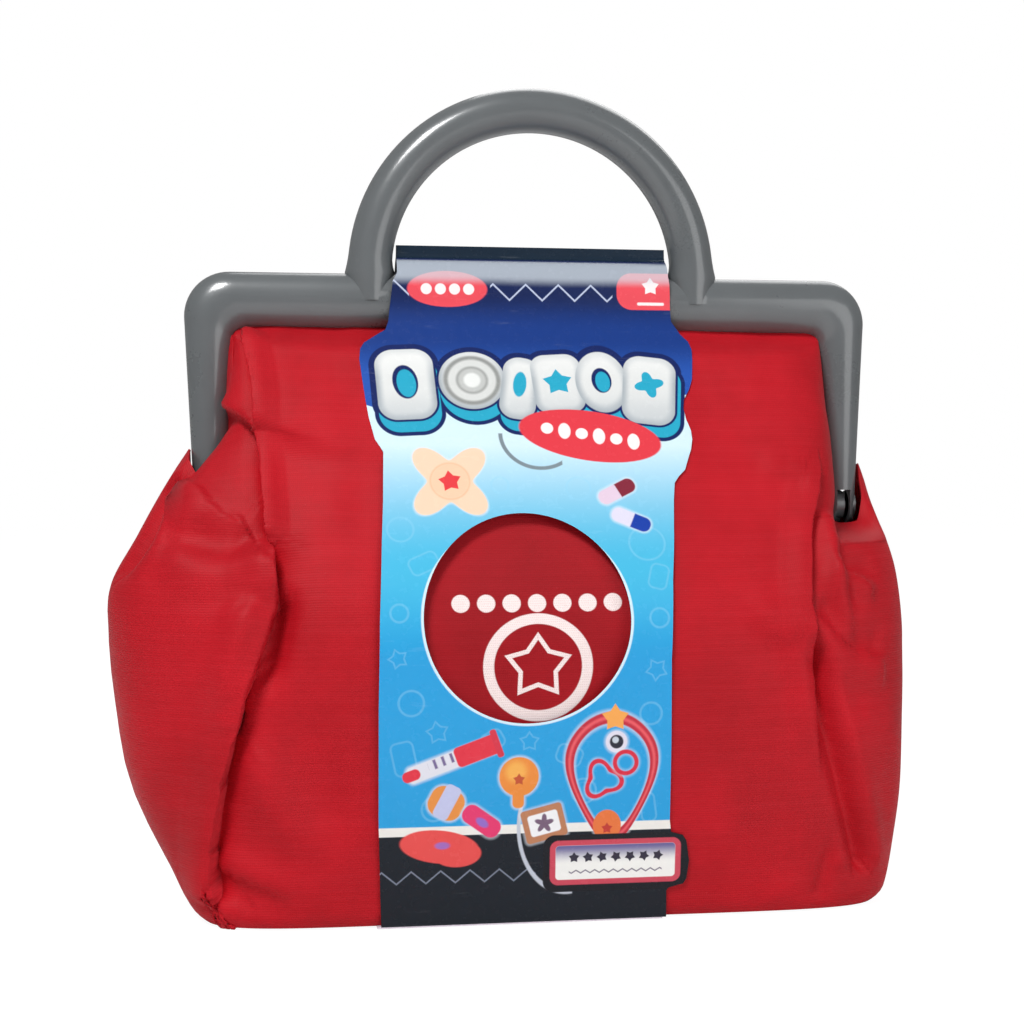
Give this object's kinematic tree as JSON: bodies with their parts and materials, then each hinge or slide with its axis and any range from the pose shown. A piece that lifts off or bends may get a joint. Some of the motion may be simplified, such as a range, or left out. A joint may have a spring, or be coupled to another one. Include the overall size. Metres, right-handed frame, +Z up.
{
  "type": "toy carry case",
  "caption": "Soft cloth toy carry case with a hinged grey plastic frame, an arched two-part handle and a printed card sleeve.",
  "frame": {"origin": "on the ground under the middle of the case", "axes": "+X to the right seen from the front, -Y towards the front, +Z up through the handle"},
  "size_m": [0.2299, 0.0986, 0.2358],
  "materials": {
    "frame_plastic": "gloss",
    "clamp_plastic": "satin",
    "hinge_steel": "satin",
    "red_cloth": "matte",
    "hem_cloth": "matte",
    "base_cloth": "matte",
    "board": "matte",
    "printed_card": "satin"
  },
  "bodies": {
    "bag": {"front_panel": "red_cloth", "back_panel": "red_cloth", "left_gusset": "red_cloth", "right_gusset": "red_cloth", "front_panel_upper": "red_cloth", "back_panel_upper": "red_cloth", "left_gusset_upper": "red_cloth", "right_gusset_upper": "red_cloth", "bottom_panel": "base_cloth", "base_board": "board", "card_front": "printed_card", "card_back": "printed_card", "card_bottom": "printed_card"},
    "front_half": {"front_frame": "frame_plastic", "front_clamp": "clamp_plastic", "front_hem": "hem_cloth", "hinge_pins": "hinge_steel", "snap_pegs": "frame_plastic"},
    "back_half": {"back_frame": "frame_plastic", "back_clamp": "clamp_plastic", "back_hem": "hem_cloth"}
  },
  "joints": [
    {"name": "front_hinge", "type": "hinge", "parent": "bag", "child": "front_half", "pos_m": [0, 0, 0.1138], "axis": [1, 0, 0], "range_deg": [0, 45], "deforming": ["front_panel_upper", "left_gusset_upper", "right_gusset_upper", "card_front"]},
    {"name": "back_hinge", "type": "hinge", "parent": "bag", "child": "back_half", "pos_m": [0, 0, 0.1138], "axis": [-1, 0, 0], "range_deg": [0, 45], "deforming": ["back_panel_upper", "card_back"]}
  ]
}
